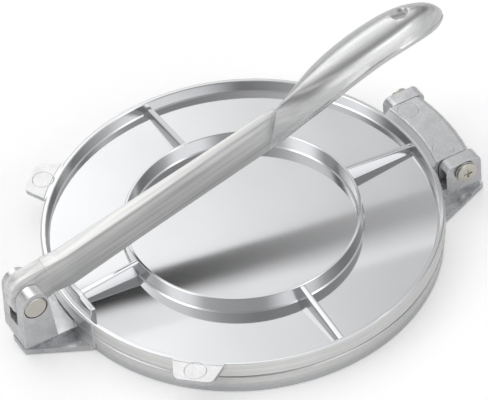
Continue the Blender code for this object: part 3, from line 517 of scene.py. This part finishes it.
def make_looks():
    """Dress every node of every body in its own finish."""
    finishes = {
        "base_plate": make_plate_finish("base_aluminium"),
        "upper_plate": make_plate_finish("upper_aluminium"),
        "lever": make_lever_finish("lever_aluminium"),
    }
    steel = make_steel_finish("nickel_plated_steel")
    for body, nodes in frame["record"]["behaviour"]["bodies"].items():
        for node in nodes:
            dress(node, body, finishes.get(node, steel))


def make_floor():
    """A pale floor whose glow makes it white to the camera and lights nothing."""
    bpy.ops.mesh.primitive_plane_add(size=FLOOR_SIZE, location=(0, 0, -FLOOR_DROP))
    floor = bpy.context.object
    floor.name = "floor"
    finish = bpy.data.materials.new("floor_paper")
    finish.use_nodes = True
    shader = finish.node_tree.nodes["Principled BSDF"]
    shader.inputs["Base Color"].default_value = FLOOR_COLOUR
    shader.inputs["Roughness"].default_value = FLOOR_ROUGHNESS
    path = finish.node_tree.nodes.new("ShaderNodeLightPath")
    glow = finish.node_tree.nodes.new("ShaderNodeMath")
    glow.operation = "MULTIPLY"
    glow.inputs[1].default_value = FLOOR_GLOW
    finish.node_tree.links.new(path.outputs["Is Camera Ray"], glow.inputs[0])
    finish.node_tree.links.new(glow.outputs[0], shader.inputs["Emission Strength"])
    shader.inputs["Emission Color"].default_value = WHITE
    floor.data.materials.append(finish)


def make_strip():
    """A dark strip overhead that the plates mirror. It is darkest at the end
    beside the lever's bracket, and its near side fades into the room."""
    bpy.ops.mesh.primitive_plane_add(size=1)
    strip = bpy.context.object
    strip.name = "dark_strip"
    strip.location = Vector(STRIP_PLACE) + PLATE_CENTRE
    strip.scale = (STRIP_SIZE[0], STRIP_SIZE[1], 1)
    strip.rotation_euler = (0, 0, STRIP_TURN)
    strip.visible_camera = False
    strip.visible_diffuse = False
    strip.visible_shadow = False
    material = bpy.data.materials.new("dark_cloth")
    material.use_nodes = True
    material.node_tree.nodes.clear()
    cloth = Nodes(material.node_tree)
    along, across = cloth.split(cloth.coordinates.outputs["Object"])[:2]
    core = cloth.ramp(along, -STRIP_HALF, STRIP_HALF, STRIP_DARK, STRIP_END)
    reach = cloth.maths("MULTIPLY_ADD", along, STRIP_SPREAD, STRIP_SPREAD * STRIP_HALF)
    below = cloth.maths("SUBTRACT", STRIP_CORE, across)
    share = cloth.maths("DIVIDE", below, cloth.maths("ADD", reach, STRIP_CORE), 0.0, True)
    level = cloth.between(share, core, STRIP_PALE)
    glow = material.node_tree.nodes.new("ShaderNodeEmission")
    output = material.node_tree.nodes.new("ShaderNodeOutputMaterial")
    cloth.feed(glow.inputs["Strength"], level)
    cloth.feed(output.inputs["Surface"], glow.outputs[0])
    strip.data.materials.append(material)


def level_round(room, turn, levels):
    """A light level by azimuth, from a table of degrees and levels. The turn is
    0 at azimuth -180 degrees and 1 at 180 degrees."""
    ramp = room.tree.nodes.new("ShaderNodeValToRGB")
    stops = ramp.color_ramp.elements
    places = sorted(
        ((azimuth / FULL_TURN + 0.5) % 1, level) for azimuth, level in levels)
    while len(stops) < len(places):
        stops.new(1.0)
    for stop, (position, level) in zip(stops, places):
        stop.position = position
        stop.color = (level, level, level, 1)
    room.feed(ramp.inputs[0], turn)
    return ramp.outputs["Color"]


def make_room(tree):
    """The room's light by direction: a horizon, windows with dark gaps between them,
    a wall above, and a ceiling that is brighter on one side."""
    room = Nodes(tree)
    x, y, z = room.split(room.coordinates.outputs["Generated"])
    turn = room.maths("MULTIPLY_ADD", room.maths("ARCTAN2", y, x), 0.5 / math.pi, 0.5)
    toward = (math.cos(CEILING_AZIMUTH) * CEILING_TILT, math.sin(CEILING_AZIMUTH) * CEILING_TILT)
    ceiling = room.maths("MULTIPLY_ADD", x, toward[0], CEILING_LEVEL)
    ceiling = room.maths("MULTIPLY_ADD", y, toward[1], ceiling)
    windows = level_round(room, turn, WINDOW_LEVELS)
    horizon = level_round(room, turn, HORIZON_LEVELS)
    level = room.between(room.ramp(z, HORIZON_START, HORIZON_END), horizon, windows)
    level = room.between(
        room.ramp(z, WALL_START, WALL_END), level, level_round(room, turn, WALL_LEVELS))
    level = room.between(room.ramp(z, CEILING_START, CEILING_END), level, ceiling)
    return room.maths("MULTIPLY", level, ROOM_LIGHT)


def make_light():
    """The room's light with its dark strip, and a plain white backdrop for the camera."""
    world = bpy.data.worlds.new("studio")
    bpy.context.scene.world = world
    world.use_nodes = True
    tree = world.node_tree
    room = tree.nodes["Background"]
    room.inputs["Color"].default_value = WHITE
    tree.links.new(make_room(tree), room.inputs["Strength"])
    backdrop = tree.nodes.new("ShaderNodeBackground")
    backdrop.inputs["Color"].default_value = WHITE
    backdrop.inputs["Strength"].default_value = BACKGROUND_LIGHT
    path = tree.nodes.new("ShaderNodeLightPath")
    mix = tree.nodes.new("ShaderNodeMixShader")
    tree.links.new(path.outputs["Is Camera Ray"], mix.inputs[0])
    tree.links.new(room.outputs[0], mix.inputs[1])
    tree.links.new(backdrop.outputs[0], mix.inputs[2])
    tree.links.new(mix.outputs[0], tree.nodes["World Output"].inputs["Surface"])
    make_strip()


make_camera()
make_looks()
make_floor()
make_light()
bpy.context.scene.view_settings.view_transform = "Standard"
